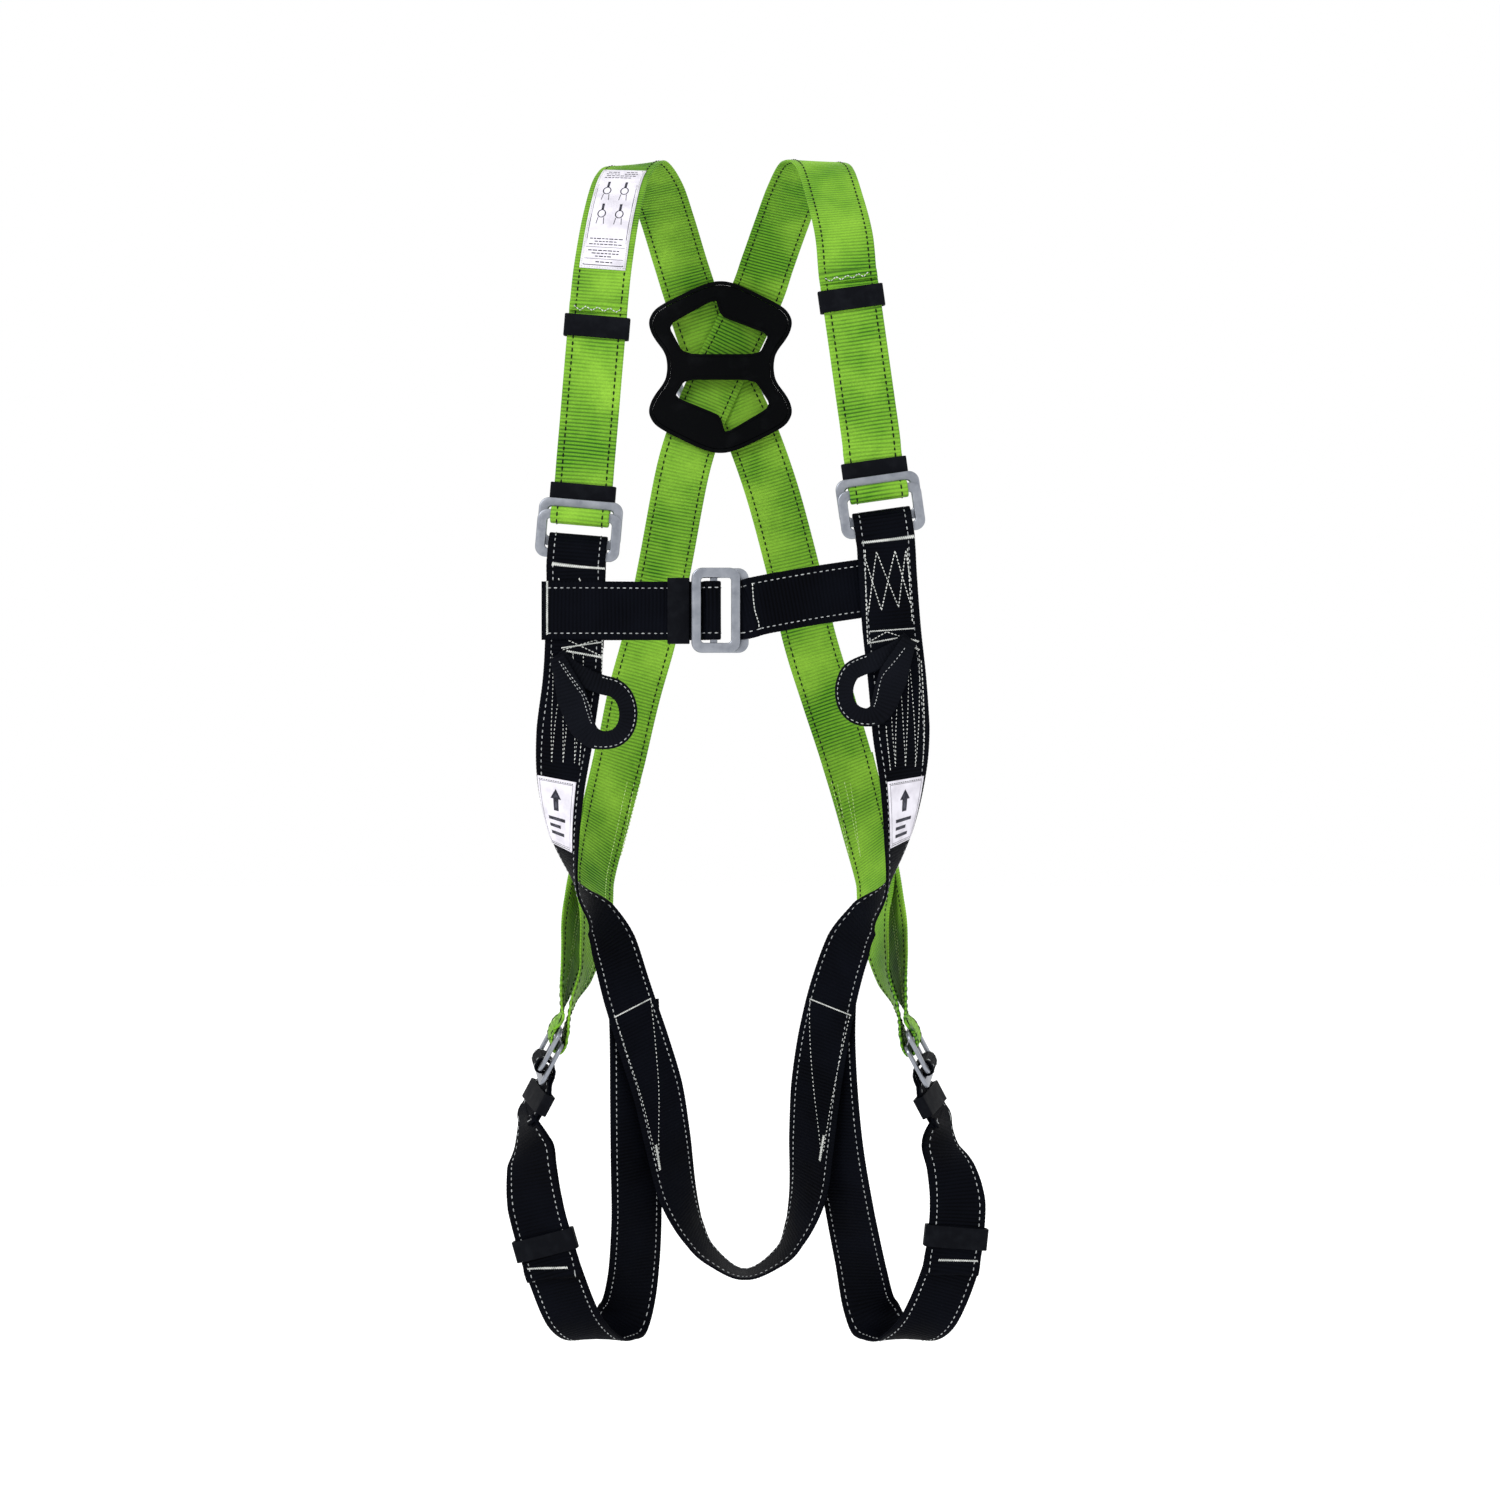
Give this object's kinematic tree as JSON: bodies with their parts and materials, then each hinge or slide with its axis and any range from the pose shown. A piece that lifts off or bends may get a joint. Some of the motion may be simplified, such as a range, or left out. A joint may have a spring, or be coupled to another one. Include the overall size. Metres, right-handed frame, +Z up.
{
  "type": "climbing and fall-arrest harness",
  "caption": "Full-body webbing harness with green shoulder straps, black front, seat and leg straps, steel pass-through buckles, elastic keepers, textile loops and a dorsal ring.",
  "frame": {"origin": "midway between the tops of the two shoulder straps, where the harness is held up", "axes": "+Z up, -Y towards the chest side, +X to the right seen from the front (the wearer's left)"},
  "size_m": [0.3811, 0.2777, 0.9533],
  "materials": {
    "green_webbing": "ribbed woven polyester with black lock stitches",
    "black_webbing": "ribbed woven polyester with pale grey lock stitches",
    "loop_webbing": "narrow webbing folded and edge stitched",
    "zinc_steel": "satin zinc plated, tumbled",
    "keeper_rubber": "matte moulded",
    "plate_plastic": "moulded, fine grain",
    "label_cloth": null
  },
  "bodies": {
    "webbing": {"left_shoulder_strap": "green_webbing", "right_shoulder_strap": "green_webbing", "front_and_seat_strap": "black_webbing", "left_leg_strap": "black_webbing", "right_leg_strap": "black_webbing", "chest_adjusting_strap": "black_webbing", "chest_fixed_strap": "black_webbing", "dorsal_plate": "plate_plastic", "left_shoulder_front_frame": "zinc_steel", "left_shoulder_rear_frame": "zinc_steel", "right_shoulder_front_frame": "zinc_steel", "right_shoulder_rear_frame": "zinc_steel", "left_leg_front_frame": "zinc_steel", "left_leg_rear_frame": "zinc_steel", "right_leg_front_frame": "zinc_steel", "right_leg_rear_frame": "zinc_steel", "chest_rear_frame": "zinc_steel", "chest_slide_bar": "zinc_steel", "left_loop_tab": "loop_webbing", "right_loop_tab": "loop_webbing", "instruction_label": "label_cloth", "left_hip_label": "label_cloth", "right_hip_label": "label_cloth"},
    "left_upper_keeper": {"left_upper_keeper": "keeper_rubber"},
    "left_lower_keeper": {"left_lower_keeper": "keeper_rubber"},
    "right_upper_keeper": {"right_upper_keeper": "keeper_rubber"},
    "right_lower_keeper": {"right_lower_keeper": "keeper_rubber"},
    "chest_keeper": {"chest_keeper": "keeper_rubber"},
    "left_leg_upper_keeper": {"left_leg_upper_keeper": "keeper_rubber"},
    "left_leg_lower_keeper": {"left_leg_lower_keeper": "keeper_rubber"},
    "right_leg_upper_keeper": {"right_leg_upper_keeper": "keeper_rubber"},
    "right_leg_lower_keeper": {"right_leg_lower_keeper": "keeper_rubber"},
    "dorsal_ring": {"dorsal_ring": "zinc_steel"},
    "left_loop": {"left_loop": "loop_webbing"},
    "right_loop": {"right_loop": "loop_webbing"},
    "chest_front_frame": {"chest_front_frame": "zinc_steel"}
  },
  "joints": [
    {"name": "dorsal_ring_swing", "type": "hinge", "parent": "webbing", "child": "dorsal_ring", "pos_m": [-0.013, 0.1168, -0.153], "axis": [1, 0, 0], "range_deg": [0, 90]},
    {"name": "left_loop_swing", "type": "hinge", "parent": "webbing", "child": "left_loop", "pos_m": [-0.107, -0.1184, -0.447], "axis": [0, 0, -1], "range_deg": [0, 75]},
    {"name": "right_loop_swing", "type": "hinge", "parent": "webbing", "child": "right_loop", "pos_m": [0.1055, -0.1184, -0.433], "axis": [0, 0, 1], "range_deg": [0, 75]},
    {"name": "chest_frame_tilt", "type": "hinge", "parent": "webbing", "child": "chest_front_frame", "pos_m": [-0.0158, -0.12, -0.37], "axis": [0, 0, -1], "range_deg": [0, 5]},
    {"name": "left_upper_keeper_slide", "type": "slide", "parent": "webbing", "child": "left_upper_keeper", "axis": [-0.0837, 0, -0.9965], "range_m": [0, 0.06]},
    {"name": "left_lower_keeper_slide", "type": "slide", "parent": "webbing", "child": "left_lower_keeper", "axis": [0.0837, 0, 0.9965], "range_m": [0, 0.025]},
    {"name": "right_upper_keeper_slide", "type": "slide", "parent": "webbing", "child": "right_upper_keeper", "axis": [0.1392, 0, -0.9903], "range_m": [0, 0.06]},
    {"name": "right_lower_keeper_slide", "type": "slide", "parent": "webbing", "child": "right_lower_keeper", "axis": [-0.1392, 0, 0.9903], "range_m": [0, 0.025]},
    {"name": "chest_keeper_slide", "type": "slide", "parent": "webbing", "child": "chest_keeper", "axis": [-1, 0, 0], "range_m": [0, 0.015]},
    {"name": "left_leg_upper_keeper_slide", "type": "slide", "parent": "webbing", "child": "left_leg_upper_keeper", "axis": [-0.4695, 0, -0.8829], "range_m": [0, 0.0015]},
    {"name": "right_leg_upper_keeper_slide", "type": "slide", "parent": "webbing", "child": "right_leg_upper_keeper", "axis": [0.4695, 0, -0.8829], "range_m": [0, 0.0015]},
    {"name": "left_leg_lower_keeper_slide", "type": "slide", "parent": "webbing", "child": "left_leg_lower_keeper", "axis": [-0.2723, 0, 0.9622], "range_m": [-0.005, 0.005]},
    {"name": "right_leg_lower_keeper_slide", "type": "slide", "parent": "webbing", "child": "right_leg_lower_keeper", "axis": [0.1045, 0, 0.9945], "range_m": [-0.005, 0.005]}
  ]
}
